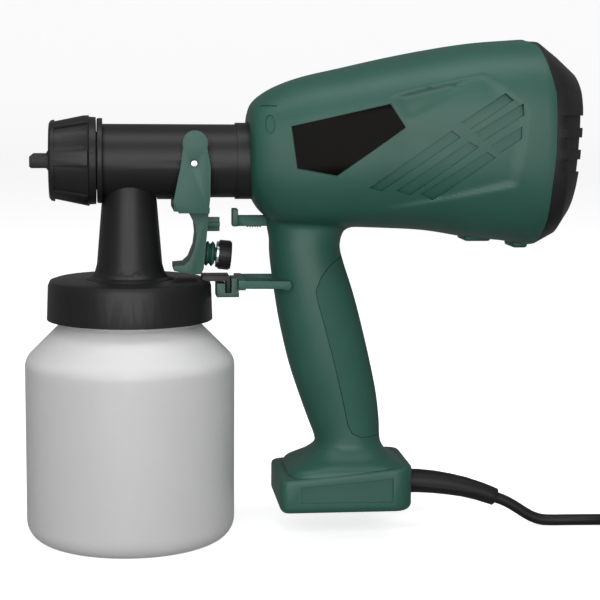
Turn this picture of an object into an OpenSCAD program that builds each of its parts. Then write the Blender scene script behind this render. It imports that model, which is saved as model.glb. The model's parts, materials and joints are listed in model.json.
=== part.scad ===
// Hand-held electric turbine paint sprayer with a screw-on paint bottle.
// +Z is up, the nozzle points along -X, and the origin is the centre of the bottle's flat base.

/* [Bottle] */
// Outer radius of the bottle's body
bottle_r = 49.6; // [44:0.2:54]
// Height of the bottle's shoulder above its base
shoulder_z = 87; // [80:1:92]
// Wall thickness of the bottle
bottle_wall = 1.8; // [1.2:0.1:3]
// Outer radius of the bottle's neck
neck_r = 33.2; // [30:0.1:34]
// Height of the foot of the bottle's neck
neck_low = 103; // [102.5:0.1:104]
// Height of the bottle's rim
neck_high = 119.6; // [118:0.1:119.7]
// Radius of the fillet round the base
base_fillet = 10; // [6:1:14]

/* [Spray head] */
// Height of the barrel's axis
barrel_z = 180.3; // [176:0.1:184]
// Outer radius of the barrel
barrel_r = 17.2; // [16.5:0.1:17.6]
// Wall thickness of the barrel
barrel_wall = 2.4; // [2:0.1:3]
// Outer radius of the lid's skirt
lid_r = 39.1; // [37:0.1:41]
// Height of the lid's lower edge
lid_low = 105.7; // [104:0.1:107]
// Height of the lid's flat top
lid_high = 124.8; // [124:0.1:126]
// Height of the flat face inside the lid
lid_split = 121.7; // [121.4:0.1:122]
// Largest radius of the retaining nut
nut_r = 22; // [21:0.1:23]
// Number of grip ribs round the retaining nut
nut_ribs = 6; // [4:1:8]

/* [Trigger] */
// Place of the trigger's pivot along the barrel
pivot_x = 29.6; // [27:0.1:32]
// Height of the trigger's pivot
pivot_z = 179.8; // [178:0.1:181]
// Place of the latch's pivot behind the bottle's axis
latch_x = 73.4; // [73:0.1:74]
// Height of the latch's pivot
latch_z = 122.6; // [122:0.1:123]
// Radius of the pivot pins
pin_r = 1.45; // [1.2:0.05:1.5]
// Gap all round a part that turns or slides in another
fit = 0.05; // [0.02:0.01:0.1]
// Tilt of the flow knob's axis below the level
knob_tilt = 5; // [0:1:8]

/* [Housing] */
// Wall thickness of the housing halves
wall = 2.6; // [2:0.1:3.2]
// Thickness of the soft grip panel
grip_t = 1.8; // [1.2:0.1:2.2]
// Depth of the badge's seat
badge_t = 0.9; // [0.6:0.1:1.2]
// Height of the motor's axis
motor_z = 186; // [185:0.5:187]
// Radius of the turbine's fan
fan_r = 26.6; // [24:0.2:27]

/* [Cord] */
// Diameter of the mains cord
cord_d = 5.5; // [5:0.1:6.5]
// Inside radius of the stored coil
coil_in = 19.2; // [18:0.2:24]
// Outside radius of the stored coil
coil_out = 48; // [46:0.5:52]

/* [Hidden] */
green = "#35594f";
black = "#1d1d1d";
steel = "#b9bcbf";
brass = "#b8923f";
$fn = 64;
e = 0.01;

// ---------- shared shapes ----------

// Signed power, for superellipse outlines
function spow(v, p) = sign(v) * pow(abs(v), p);

// Catmull-Rom value at u between b and c, over rows of equal length
function cr(a, b, c, d, u) =
    0.5 * (2 * b + (c - a) * u + (2 * a - 5 * b + 4 * c - d) * u * u + (3 * b - a - 3 * c + d) * u * u * u);

// Rows smoothed to n steps between each pair
function smooth_rows(s, n) = concat(
    [for (i = [0 : len(s) - 2]) for (k = [0 : n - 1])
        cr(s[max(i - 1, 0)], s[i], s[i + 1], s[min(i + 2, len(s) - 1)], k / n)],
    [s[len(s) - 1]]);

// Closed skin through rings of equal length, first ring to last
module skin(rings) {
    n = len(rings[0]);
    m = len(rings);
    side = [for (i = [0 : m - 2]) for (j = [0 : n - 1])
        each [[i * n + j, (i + 1) * n + j, (i + 1) * n + (j + 1) % n],
              [i * n + j, (i + 1) * n + (j + 1) % n, i * n + (j + 1) % n]]];
    lid_a = [[for (j = [0 : n - 1]) j]];
    lid_b = [[for (j = [n - 1 : -1 : 0]) (m - 1) * n + j]];
    polyhedron(points = [for (r = rings) each r], faces = concat(side, lid_a, lid_b));
}

// Side view outline (x, z) pushed out to both sides of y = 0
module side_plate(pts, y0, y1) {
    translate([0, y1, 0]) rotate([90, 0, 0]) linear_extrude(y1 - y0) polygon(pts);
}

// Ring or disc turned about a level line along X, from an outline (x, radius)
module turned_x(pts, z) {
    translate([0, 0, z]) rotate([0, 90, 0]) rotate_extrude($fn = 96) polygon([for (p = pts) [p[1], p[0]]]);
}

// Plain round bar along X
module bar_x(x0, x1, r, z, y = 0) {
    translate([x0, y, z]) rotate([0, 90, 0]) cylinder(r = r, h = x1 - x0);
}

// Plain round bar along Y
module bar_y(x, z, r, y0, y1) {
    translate([x, y1, z]) rotate([90, 0, 0]) cylinder(r = r, h = y1 - y0);
}

// Tube swept along points that lie on a smooth route, with a radius for each point
function unit(v) = v / norm(v);
function heading(p, i) = unit(p[min(i + 1, len(p) - 1)] - p[max(i - 1, 0)]);
function side_of(t) = unit(cross([0, 0, 1], t));
module sweep(p, radii, n) {
    skin([for (i = [0 : len(p) - 1])
        let (t = heading(p, i), s = side_of(t), u = cross(t, s))
        [for (j = [0 : n - 1]) p[i] + radii[i] * (cos(-360 * j / n) * s + sin(-360 * j / n) * u)]]);
}

// ---------- housing form ----------

// Body sections from the nose to the back: x, top, bottom, half width
body_rows = smooth_rows([
    [55.8, 203, 168, 20], [57.5, 207.4, 162.5, 24], [62, 211.6, 156, 27], [70, 216, 150.5, 30],
    [82, 220.2, 149, 33.5], [100, 224.4, 149.3, 37], [120, 229, 148.8, 39.5], [140, 233, 147.6, 41],
    [160, 236.2, 144.4, 42], [178, 237.8, 142.6, 42.2], [187, 238.3, 140.8, 42.2],
    [192, 237.4, 141, 42], [196, 234.4, 142, 41.2], [200, 231.2, 145.5, 39.4],
    [205.5, 226.8, 153.5, 35.5], [211, 222, 161, 29.5]], 2);
body_power = 0.78;

// Handle sections from the top down to the foot: z, front, back, half width, corner power
handle_rows = smooth_rows([
    [166, 64, 108, 15, 0.95], [152, 64, 104, 15.6, 0.95], [145, 66, 100.6, 16, 0.95],
    [139, 66.1, 100.1, 16.2, 0.95], [131, 66.8, 102.2, 16.6, 0.95], [118, 68.7, 106.5, 17.2, 0.95],
    [103, 71.3, 110.6, 17.4, 0.95], [84, 75.8, 115.2, 17.2, 0.95], [69, 80.7, 118.3, 16.6, 0.95],
    [56, 85.4, 119.9, 16, 0.95], [47.5, 88.6, 120.3, 15.8, 0.9], [43.5, 88.4, 121.4, 16.4, 0.8],
    [39.5, 84, 124.6, 19.4, 0.65], [36.5, 79.2, 129.6, 23.4, 0.5], [34, 75.2, 132, 25.2, 0.42],
    [31, 70.6, 133, 26.2, 0.38], [28, 69.8, 133.4, 26.5, 0.37], [24, 70.2, 133.8, 26.6, 0.36], [18.6, 71, 134.2, 26.2, 0.36],
    [16.2, 72.6, 133, 25, 0.36], [15, 75.5, 131, 22.6, 0.36]], 1);

// Solid body, drawn in by d all round, with n points a ring
module body_form(d, n) {
    nose = body_rows[0][0];
    tail = body_rows[len(body_rows) - 1][0];
    skin([for (s = body_rows) if (s[0] >= nose + d && s[0] <= tail - d)
        let (zc = (s[1] + s[2]) / 2, hz = (s[1] - s[2]) / 2 - d, hy = s[3] - d)
        [for (j = [0 : n - 1]) let (t = 360 * j / n)
            [s[0], hy * spow(cos(t), body_power), zc + hz * spow(sin(t), body_power)]]]);
}

// Solid handle and foot, drawn in by d all round
module handle_form(d, n) {
    sole = handle_rows[len(handle_rows) - 1][0];
    skin([for (s = handle_rows) if (s[0] >= sole + d)
        let (xc = (s[1] + s[2]) / 2, hx = (s[2] - s[1]) / 2 - d, hy = s[3] - d)
        [for (j = [0 : n - 1]) let (t = 360 * j / n)
            [xc + hx * spow(cos(t), s[4]), -hy * spow(sin(t), s[4]), s[0]]]]);
}

// Outline of the slanted back face, as seen from the side
back_face = [[100, 300], [204.6, 300], [206.6, 226], [209.2, 222.6], [210.2, 214], [210, 206],
    [209.2, 195], [207.8, 176.5], [206.4, 162.4], [205.6, 155.6], [199, 100], [100, 100]];

// Everything behind the seam between housing and rear cap
function behind_seam(g) = [[260, 260], [185 + g, 260], [185.6 + g, 237.6], [189.7 + g, 235], [191.8 + g, 226],
    [194.4 + g, 213], [194.2 + g, 186], [192.8 + g, 169], [192.6 + g, 154.5], [191.6 + g, 142],
    [191 + g, 120], [260, 120]];

// Outline of the soft grip panel on the handle's back
grip_outline = [[130, 137.5], [99.6, 135.6], [93.6, 132], [89, 126.4], [86.6, 120], [87.6, 115],
    [91.6, 101], [96.6, 82], [100.6, 65], [102.6, 55.4], [105, 51], [109, 49.2], [130, 48.8]];

badge_outline = [[73.2, 197.4], [118, 208], [124.8, 197.4], [93.6, 174.8], [75.8, 178]];

// Slanted vent bars: start x, z of the lower end and of the upper end
vent_bars = [[110, 170.5, 148.6, 195.4], [123, 168.6, 156.5, 190], [136, 165.8, 164.6, 184.8],
    [154, 197.6, 173.4, 210.6], [162.6, 193, 179, 204.2], [169.6, 187.4, 179, 193.6]];
vent_w = 4.6;

// Screw bosses of the housing: x, z
boss_at = [[65.5, 205.6], [150, 224.6], [185.4, 150.4], [86, 113], [101, 62], [84, 24.6]];

module vent_bar(b, w) {
    len_b = norm([b[2] - b[0], b[3] - b[1]]);
    translate([b[0], 0, b[1]]) rotate([0, -atan2(b[3] - b[1], b[2] - b[0]), 0])
        translate([0, -60, -w / 2]) cube([len_b, 120, w]);
}

// Both halves in one piece: shell, seats, vents and screw bosses
module housing_shell() {
    difference() {
        union() {
            body_form(0, 48);
            handle_form(0, 36);
        }
        difference() {
            union() {
                body_form(wall, 36);
                handle_form(wall + grip_t, 28);
            }
            for (b = boss_at) bar_y(b[0], b[1], 3.6, -60, 60, $fn = 20);
        }
        side_plate(behind_seam(0), -60, 60);
        intersection() {
            difference() {
                handle_form(-1, 28);
                handle_form(grip_t, 28);
            }
            side_plate(grip_outline, -60, 60);
        }
        difference() {
            side_plate(badge_outline, -60, 60);
            body_form(badge_t, 48);
        }
        difference() {
            for (b = vent_bars) vent_bar(b, vent_w);
            body_form(1, 48);
        }
        bar_x(50, 76, barrel_r + 1.1, barrel_z, $fn = 48);
        bar_x(120, 150, 6.3, 24.3, $fn = 32);
        bar_x(125.8, 129.3, 8, 24.3, $fn = 32);
        bar_x(94, 121, 3.9, 24.3, $fn = 24);
        translate([55, -3.4, 148.6]) cube([24, 6.8, 6.8]);
        for (s = [-1, 1]) bar_y(latch_x, latch_z, 1.9, s * 13 - 4, s * 13 + 4, $fn = 24);
        for (b = boss_at) bar_y(b[0], b[1], 1.75, -14, 60, $fn = 20);
        for (b = boss_at) bar_y(b[0], b[1], 3.5, 12, 60, $fn = 20);
    }
}

// One half of the shell, as a single mesh
module half_shell(y0) {
    resize([0, 0, 0]) intersection() {
        housing_shell();
        translate([0, y0, 0]) cube([300, 60, 300]);
    }
}

// Near and far halves of the motor housing, with handle and foot
module housing_left() { color(green) half_shell(-60); }
module housing_right() { color(green) half_shell(0); }

// Cap over the back of the housing, with intake slots
module rear_cap() {
    color(black) resize([0, 0, 0]) difference() {
        intersection() {
            body_form(0, 48);
            side_plate(behind_seam(0.25), -60, 60);
            side_plate(back_face, -60, 60);
        }
        intersection() {
            body_form(wall, 36);
            side_plate([for (p = back_face) [p[0] - wall, p[1]]], -60, 60);
        }
        for (k = [0 : 2]) translate([198, -60, 177 + 10.1 * k]) cube([20, 120, 5.7]);
    }
}

// Foam block behind the slots
module air_filter() {
    color("#3c3c3c") translate([184, 0, 0]) {
        translate([0, -27, 163]) cube([11, 54, 50]);
        translate([11 - e, -24, 168]) cube([5, 48, 42]);
    }
}

// Soft panel let into the back of the handle
module grip_insert() {
    color("#1e4339") resize([0, 0, 0]) intersection() {
        difference() {
            handle_form(0, 36);
            handle_form(grip_t - 0.1, 28);
        }
        side_plate(grip_outline, -60, 60);
        translate([60, -60, 49.4]) cube([80, 120, 87.6]);
    }
}

// Thin label let into one side of the housing
module badge(y0) {
    color("#0b0b0b") resize([0, 0, 0]) intersection() {
        difference() {
            body_form(0.1, 48);
            body_form(badge_t - 0.05, 48);
        }
        side_plate([for (p = badge_outline) [98 + (p[0] - 98) * 0.985, 192 + (p[1] - 192) * 0.975]], -60, 60);
        translate([0, y0, 0]) cube([300, 60, 300]);
    }
}
module badge_left() { badge(-60); }
module badge_right() { badge(0); }

// Screws that hold the halves together, their heads on the far side
module housing_screws() {
    color(steel) for (b = boss_at) {
        bar_y(b[0], b[1], 1.45, -13, 9.6);
        bar_y(b[0], b[1], 2.9, 12.1, 14.3);
        bar_y(b[0], b[1], 1.45, 9, 12.5);
    }
}

// ---------- turbine and motor ----------

// Sleeve and disc that lead the turbine's air into the barrel
module air_duct() {
    color(black) {
        turned_x([[62, 18.2], [76, 18.2], [76, 20], [62, 20]], barrel_z);
        difference() {
            bar_x(76, 78, 27.6, motor_z);
            bar_x(75, 79, 14, barrel_z);
        }
    }
}

// Ring that seals the sleeve on the barrel
module duct_seal() {
    color("#2a2a2a") turned_x([for (a = [0 : 30 : 330]) [65 + 0.48 * cos(a), 17.7 + 0.47 * sin(a)]], barrel_z);
}

// Cup round the fan
module turbine_case() {
    color("#d8d6cf") difference() {
        bar_x(78.1, 97, 29.2, motor_z);
        bar_x(76, 95, 27.6, motor_z);
        bar_x(90, 99, 12, motor_z);
    }
}

// Two discs with slanted blades between them
module turbine_fan() {
    color("#c9c9c4") {
        difference() {
            bar_x(80.5, 82, fan_r, motor_z);
            bar_x(79, 83, 11, motor_z);
        }
        difference() {
            union() {
                bar_x(90.5, 92, fan_r, motor_z);
                bar_x(84, 92, 5, motor_z);
            }
            bar_x(79, 95, 2.5, motor_z);
        }
        for (k = [0 : 8]) translate([82 - e, 0, motor_z]) rotate([k * 40, 0, 0])
            translate([0, 12, 0]) rotate([24, 0, 0]) cube([8.5 + 2 * e, 13.2, 1]);
    }
}

// Ball bearing, its two rings joined by a thin shield
module bearing(x) {
    turned_x([[x, 2.5 + fit], [x + 5, 2.5 + fit], [x + 5, 4.4], [x + 4.4, 5], [x + 4.4, 6.6], [x + 5, 7.2],
        [x + 5, 8], [x, 8], [x, 7.2], [x + 0.6, 6.6], [x + 0.6, 5], [x, 4.4]], motor_z);
}
module front_bearing() { color(steel) bearing(98.6); }
module rear_bearing() { color(steel) bearing(158.6); }

// Disc that carries a bearing, with four air holes
module bracket(x0, x1, r) {
    difference() {
        bar_x(x0, x1, r, motor_z);
        translate([x0 - 1, 0, motor_z]) rotate([0, 90, 0]) cylinder(r = 8, h = x1 - x0 + 2);
        for (a = [45 : 90 : 315]) translate([x0 - 1, 0, motor_z]) rotate([a, 0, 0])
            translate([0, 0, 16.5]) rotate([0, 90, 0]) cylinder(r = 5.5, h = x1 - x0 + 2);
    }
}
module front_bracket() { color("#9a9ea1") bracket(98.6, 103.6, 27); }
module rear_bracket() { color("#9a9ea1") bracket(158.6, 163.6, 25); }

// Rubber rings between the brackets and the housing
module motor_mounts() {
    color("#2b2b2b") {
        turned_x([[98.8, 27], [103.4, 27], [103.4, 29.6], [98.8, 29.6]], motor_z);
        turned_x([[158.8, 25], [163.4, 25], [163.4, 28], [158.8, 28]], motor_z);
    }
}

// Laminated core of the field, slotted for its coils
module stator() {
    color("#7d8084") difference() {
        bar_x(108, 142, 26.5, motor_z);
        bar_x(107, 143, 15.6, motor_z);
        for (s = [-1, 1]) translate([107, s * 18 - 4.5, motor_z - 11]) cube([36, 9, 22]);
    }
}

// Two coils in the core's slots
module field_coils() {
    color("#a8562a") for (s = [-1, 1]) difference() {
        translate([104.6, s * 18 - 4.2, motor_z - 10.6]) cube([40.8, 8.4, 21.2]);
        bar_x(100, 150, 15.8, motor_z);
    }
}

// Shaft through both bearings
module motor_shaft() { color(steel) bar_x(79, 167, 2.5, motor_z); }

// Slotted core on the shaft
module armature() {
    color("#6b6e72") difference() {
        bar_x(108.5, 141.5, 14.9, motor_z);
        bar_x(107, 143, 2.5, motor_z);
        for (k = [0 : 11]) translate([107, 0, motor_z]) rotate([k * 30, 0, 0]) translate([0, -0.8, 11]) cube([36, 1.6, 5]);
    }
}

// Ring of copper bars
module commutator() {
    color("#b87333") difference() {
        bar_x(146.5, 157, 9.4, motor_z);
        bar_x(146, 158, 2.5, motor_z);
        for (k = [0 : 11]) translate([147.5, 0, motor_z]) rotate([k * 30 + 15, 0, 0]) translate([0, -0.3, 8.2]) cube([11, 0.6, 2]);
    }
}

// Brass tubes that guide the brushes
module brush_holders() {
    color("#c0a050") for (s = [-1, 1]) difference() {
        translate([147.6, min(s * 11, s * 24), motor_z - 4.5]) cube([8, 13, 9]);
        translate([149.4, min(s * 10, s * 25), motor_z - 3]) cube([4.4, 15, 6]);
    }
}

// Carbon blocks that press on the commutator
module carbon_brushes() {
    color("#333333") for (s = [-1, 1])
        translate([149.5, min(s * 9.6, s * 20), motor_z - 2.9]) cube([4.2, 10.4, 5.8]);
}

// ---------- switch, wiring and cord ----------

// Box of the switch, open at the front for the plunger
module switch_body() {
    color(black) difference() {
        translate([76, -8.2, 137.5]) cube([14, 16.4, 18.4]);
        translate([70, -2.7, 148.7]) cube([17, 5.4, 6.2]);
    }
}

// Stem that the trigger pushes
module switch_plunger() {
    color(green) {
        translate([48.4, -5, 149.6]) cube([2.6, 10, 8.2]);
        translate([51 - e, -2.5, 149.6]) cube([28.5, 5, 5]);
        for (k = [0 : 5]) translate([55.4 + 1.2 * k, -2.5, 149]) cube([0.6, 5, 0.7]);
    }
}

// Suppressor behind the motor
module capacitor() {
    color("#c9b37a") translate([167.5, -9, 150]) cube([9, 18, 14]);
}

lead_a = [[103.9, 1.7, 24.3], [100, 2.4, 24.6], [97, 4.4, 27.6], [96.4, 6, 34], [98.5, 6, 46], [95, 6.2, 62], [93.5, 6.4, 80],
    [95.4, 6.2, 98], [95.6, 6, 112], [92, 4.5, 124], [86, 4, 131], [84, 4, 137]];
module inner_leads() {
    color("#5a3a22") for (s = [-1, 1])
        sweep([for (p = lead_a) [p[0], s * p[1], p[2]]], [for (p = lead_a) 1.2], 8);
}

// Bar that holds the cord, and its screws
module cord_clamp() {
    color(black) difference() {
        translate([110, -11, 27.9]) cube([7, 22, 3]);
        for (s = [-1, 1]) translate([113.5, s * 8, 20]) cylinder(r = 1.65, h = 20);
    }
}

module clamp_screws() {
    color(steel) for (s = [-1, 1]) translate([113.5, s * 8, 0]) {
        translate([0, 0, 20.4]) cylinder(r = 1.5, h = 10.8);
        translate([0, 0, 31]) cylinder(r = 2.6, h = 1.6);
    }
}

// Middle line of the strain relief, and its outer radius at each point
relief_line = [[104, 0, 24.3], [118, 0, 24.3], [125.8, 0, 24.3], [126, 0, 24.3], [129, 0, 24.3],
    [129.2, 0, 24.3], [140, 0, 24.1], [148, 0, 23.3], [156, 0, 22], [163, 0, 20.5], [170, 0, 18.4],
    [176, 0, 16.2], [178.6, 0, 15.1], [178.7, 0, 15.06]];
relief_radii = [3.4, 3.4, 3.4, 7.8, 7.8, 5.9, 5.8, 5.6, 5.3, 5, 4.7, 4.5, 4.3, 4];
module strain_relief() { color(black) sweep(relief_line, relief_radii, 20); }

// Stretch of the cord from the strain relief to the coil, then the stretch from the coil to the plug
lead_route = [[178.7, 0, 15.06], [183, 0, 13.4], [187, 0, 11.3], [191, 0, 8.8], [195, 0, 6.2],
    [199, 0, 4.2], [203, 0, 3.1], [208, 0, 2.75], [216, -0.4, 2.75], [226, -1, 2.75], [236, -1.4, 2.75],
    [246, -1, 2.75], [254, -0.4, 2.75], [262, 0, 2.75]];
coil_at = [274, -44, 0];
tail_route = [[316.5, -59.5, 8.25], [311, -69.9, 9.2], [303.1, -78.6, 10.9], [293.1, -85, 12.8],
    [281.9, -88.5, 14.2], [271.5, -88.1, 15.3], [262.2, -83.3, 16.8], [255.9, -75, 18.5],
    [253.7, -64.9, 20], [253.7, -59, 20.3]];
plug_at = [253.7, -59, 20.3];

module cord_run(route) { sweep(route, [for (p = route) cord_d / 2], 10); }
module cord_lead() { color(black) cord_run(lead_route); }
module cord_tail() { color(black) cord_run(tail_route); }

// Outer shape of the stored turns
module cord_coil() {
    color(black) translate(coil_at) rotate_extrude($fn = 96)
        translate([coil_in, 0]) square([coil_out - coil_in, 2 * cord_d]);
}

// Strap round the coil's left side
module coil_tie() {
    half = (coil_out - coil_in) / 2;
    color("#222222") translate(coil_at + [-coil_in - half, 0, cord_d]) rotate([90, 0, 0]) translate([0, 0, -4])
        difference() {
            linear_extrude(8) translate([0, 0.6]) square([2 * half + 3, 2 * cord_d + 1.2], center = true);
            translate([0, -0.4, -1]) linear_extrude(10) square([2 * half + 0.6, 2 * cord_d + 0.9], center = true);
        }
}

// Two-pin plug lying on the coil, its cord coming in from -Y
module plug_body() {
    color(black) translate(plug_at) {
        rotate([-90, 0, 0]) cylinder(r1 = 4.2, r2 = 7.4, h = 16);
        translate([-17.5, 15.5, -8]) cube([35, 38.5, 16]);
    }
}

// Round pins of the plug
module plug_pins() {
    color(steel) for (s = [-1, 1]) translate(plug_at + [s * 9.5, 54, 0]) rotate([-90, 0, 0]) cylinder(r = 2.4, h = 19);
}

// ---------- spray head ----------

// Barrel, bottle neck and the flat top of the lid, moulded in one
module spray_body() {
    color(black) difference() {
        union() {
            bar_x(-12.3, 68, barrel_r, barrel_z, $fn = 96);
            bar_x(49.8, 60.2, 18, barrel_z, $fn = 96);
            rotate_extrude($fn = 96) polygon([[0, lid_high], [lid_r - 4, lid_high], [lid_r - 1.6, lid_high - 0.8],
                [lid_r - 0.6, lid_split], [0, lid_split]]);
            rotate_extrude($fn = 96) polygon([[0, lid_high - 1], [21, lid_high - 1], [21, lid_high + 0.2],
                [18.2, lid_high + 1.2], [16.4, lid_high + 3.4], [15.4, lid_high + 7], [12.6, 165], [12.2, 176], [0, 176]]);
            translate([13, -3, 162.4]) cube([6.4, 6, 4]);
            translate([34, -8, 124]) cube([12.8, 16, 2.4]);
            translate([45.4, -8, 118.6]) cube([1.4, 16, 7.8]);
        }
        bar_x(-13, 69, barrel_r - barrel_wall, barrel_z, $fn = 96);
        translate([0, 0, lid_split - 1]) cylinder(r = 9, h = 51);
        translate([21, -4.4, 158]) cube([17, 8.8, 12]);
        for (s = [-1, 1]) bar_y(pivot_x, pivot_z, pin_r, s * 17 - 6, s * 17 + 6);
    }
}

// Threaded wall of the lid, which the bottle's neck screws into
module lid_skirt() {
    color(black) rotate_extrude($fn = 120) polygon([[35.6, lid_low], [lid_r, lid_low],
        [lid_r - 0.6, lid_split], [35.6, lid_split]]);
}

// Threaded tube in front of the barrel, which the retaining nut screws onto
module thread_collar() {
    color(black) turned_x([[-32.4, 11.5], [-12.3, 11.5], [-12.3, 13.6], [-32.4, 13.6]], barrel_z);
}

// Stop ring between the retaining nut and the barrel
module stop_ring() {
    color(black) turned_x([[-15, 13.6], [-12.4, 13.6], [-12.4, 19.9], [-14.6, 19.9], [-15, 19.5]], barrel_z);
}

// Tube that carries paint up the neck and forward to the nozzle, with air holes in its flange
module fluid_body() {
    color("#d9d9d6") difference() {
        union() {
            bar_x(-27, 14, 7, barrel_z);
            bar_x(-29.4, -26, 11.3, barrel_z);
            translate([0, 0, 119]) cylinder(r = 6.4, h = 56);
            translate([0, 0, 118]) cylinder(r = 12, h = 3.4);
        }
        bar_x(-30, 9, 4.4, barrel_z);
        bar_x(8, 15, 3, barrel_z);
        translate([0, 0, 110]) cylinder(r = 4, h = 68);
        for (a = [0 : 60 : 300]) translate([-30, 0, barrel_z]) rotate([a, 0, 0]) translate([0, 0, 9.2])
            rotate([0, 90, 0]) cylinder(r = 1.4, h = 5);
    }
}

// Guide and seal for the needle
module needle_gland() {
    color("#e8e6e0") turned_x([[9.2, 1.25], [16, 1.25], [16, 5], [14.2, 5], [14.2, 2.9], [9.2, 2.9]], barrel_z);
}

// Needle with the collar that the trigger draws back
module paint_needle() {
    color(steel) {
        turned_x([[-37.6, 0], [-36, 0.5], [-29, 1.2], [47, 1.2], [47, 0]], barrel_z);
        turned_x([[30.9, 1], [33.6, 1], [33.6, 9.6], [30.9, 9.6]], barrel_z);
    }
}

// Turns of the spring behind the collar
module needle_spring() {
    color(steel) for (k = [0 : 4]) turned_x([for (a = [0 : 45 : 315])
        [35 + 2.6 * k + 0.6 * cos(a), 4 + 0.6 * sin(a)]], barrel_z);
}

// Nozzle that the needle closes
module paint_nozzle() {
    color(brass) turned_x([[-37, 0.85], [-37, 1.5], [-35.6, 1.7], [-33.6, 2.6], [-32.4, 6.2], [-29.6, 6.2], [-29.6, 4.3],
        [-24, 4.3], [-24, 2.6], [-30, 2.6], [-33.4, 1.5]], barrel_z);
}

// Washer between air cap and nut
module cap_washer() {
    color("#cfcfca") turned_x([[-33.8, 11.6], [-32.6, 11.6], [-32.6, 17.1], [-33.8, 17.1]], barrel_z);
}

// Cap with two air horns
module air_cap() {
    color("#2a2a2a") {
        turned_x([[-38.4, 2.1], [-38.4, 4], [-37.6, 4.8], [-36.6, 6], [-36.6, 14.4], [-34.8, 15.2],
            [-34.8, 16.8], [-34, 16.8], [-34, 8.6], [-35.4, 2.1]], barrel_z);
        for (s = [-1, 1]) side_plate([[-35, 177.3], [-45, 177.3], [-45.8, 178], [-45.8, 182.6],
            [-45, 183.3], [-35, 183.3]], s * 10.6 - 2.4, s * 10.6 + 2.4);
    }
}

// Nut with raised ribs between rounded pockets
module retaining_nut() {
    pitch = 360 / nut_ribs;
    color(black) difference() {
        turned_x([[-36.9, 16], [-37.1, 17.4], [-36.2, 18.7], [-20.8, nut_r], [-19.2, nut_r], [-18.4, 20.5],
            [-15.4, 20.3], [-15.4, 15.7], [-32.3, 15.7], [-32.3, 17.3], [-34.9, 17.3], [-34.9, 16]], barrel_z);
        for (k = [0 : nut_ribs - 1]) translate([0, 0, barrel_z]) rotate([0, 90, 0])
            rotate([0, 0, -90 - 5 + 9.5 + k * pitch - 180]) rotate_extrude(angle = pitch - 19, $fn = 96)
                polygon([[17.9, -34.6], [21.2, -18.9], [24, -18.9], [24, -34.6]]);
    }
}

// Tube down into the bottle, cut aslant at its end
module suction_tube() {
    color("#e6e6e2") difference() {
        translate([0, 0, 6]) cylinder(r = 3.9, h = 150);
        translate([0, 0, 5]) cylinder(r = 2.6, h = 160);
        translate([-10, -10, 5]) rotate([0, 20, 0]) cube([30, 20, 4]);
    }
}

// Seal on the bottle's rim
module bottle_gasket() {
    color("#3a3a3a") translate([0, 0, 119.8]) difference() {
        cylinder(r = 33, h = 1.6);
        translate([0, 0, -1]) cylinder(r = 25, h = 4);
    }
}

// Body and shoulder of the bottle
module bottle() {
    w = bottle_wall;
    r = bottle_r;
    f = base_fillet;
    outer = concat([[0, 0]], [for (a = [-90 : 15 : 0]) [r - 0.4 - f + f * cos(a), f + f * sin(a)]],
        [for (a = [0 : 15 : 45]) [r - 4 + 4 * cos(a), shoulder_z - 3 + 4 * sin(a)]],
        [[neck_r + 2, 101], [neck_r, neck_low]]);
    inner = concat([[neck_r - w, neck_low], [neck_r - w, 102], [neck_r, 100]],
        [for (a = [45 : -15 : 0]) [r - 4 + (4 - w) * cos(a), shoulder_z - 4 + (4 - w) * sin(a)]],
        [for (a = [0 : -15 : -90]) [r - 0.4 - f + (f - w) * cos(a), f + (f - w) * sin(a)]], [[0, w]]);
    color("#e9ebea") rotate_extrude($fn = 120) polygon(concat(outer, inner));
}

// Straight neck of the bottle, inside the lid
module bottle_neck() {
    color("#e9ebea") rotate_extrude($fn = 120) translate([neck_r - bottle_wall, neck_low])
        square([bottle_wall, neck_high - neck_low]);
}

// ---------- trigger group ----------

// Side outline of the trigger's two ears and of its finger blade
ear_outline = concat([for (a = [200 : -20 : -20]) [pivot_x + 0.4 + 5.9 * cos(a), pivot_z + 9.4 + 5.9 * sin(a)]],
    [[37.1, 178.4], [36.9, 164], [36.2, 157], [22.4, 157], [19.9, 162.2], [23.2, 178]]);
blade_outline = [[36.9, 159], [35.8, 145.4], [34.4, 130.4], [33.2, 127.8], [28.8, 127.8], [20.4, 129.4],
    [20.4, 131.6], [25.2, 132], [27.8, 134.4], [30.2, 140.4], [30.9, 146], [30.4, 151], [28.2, 155.4],
    [23.8, 160.2], [20.2, 161.4], [26, 161]];

// Frame with its X axis along the flow knob's screw
module on_knob_axis() { translate([35, 0, 136.6]) rotate([0, knob_tilt, 0]) children(); }

// Two ears, a finger blade, the peg that works the switch and the boss of the flow screw
module trigger() {
    color(green) {
        difference() {
            union() {
                for (s = [-1, 1]) side_plate(ear_outline, s * 19.5 - 1.5, s * 19.5 + 1.5);
                side_plate(blade_outline, -12, 12);
                side_plate([[20.2, 157.8], [36.6, 156.8], [36.8, 159.4], [29, 161.6], [20.2, 162.2]], -20, 20);
                translate([28.4, -3, 160]) cube([2.2, 6, 11.6]);
            }
            for (s = [-1, 1]) {
                bar_y(pivot_x, pivot_z, pin_r + fit, s * 19.5 - 4, s * 19.5 + 4);
                bar_y(pivot_x, pivot_z, 2.2, s * 20.6 - 0.6, s * 20.6 + 0.6);
            }
        }
        translate([34.6, -0.9, 147.1]) cube([7.9, 1.8, 6.7]);
        translate([34.6, -3.3, 149.6]) cube([7.9, 6.6, 1.8]);
        on_knob_axis() rotate([0, 90, 0]) translate([0, 0, -3]) cylinder(r = 4.8, h = 3.3);
    }
}

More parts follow.
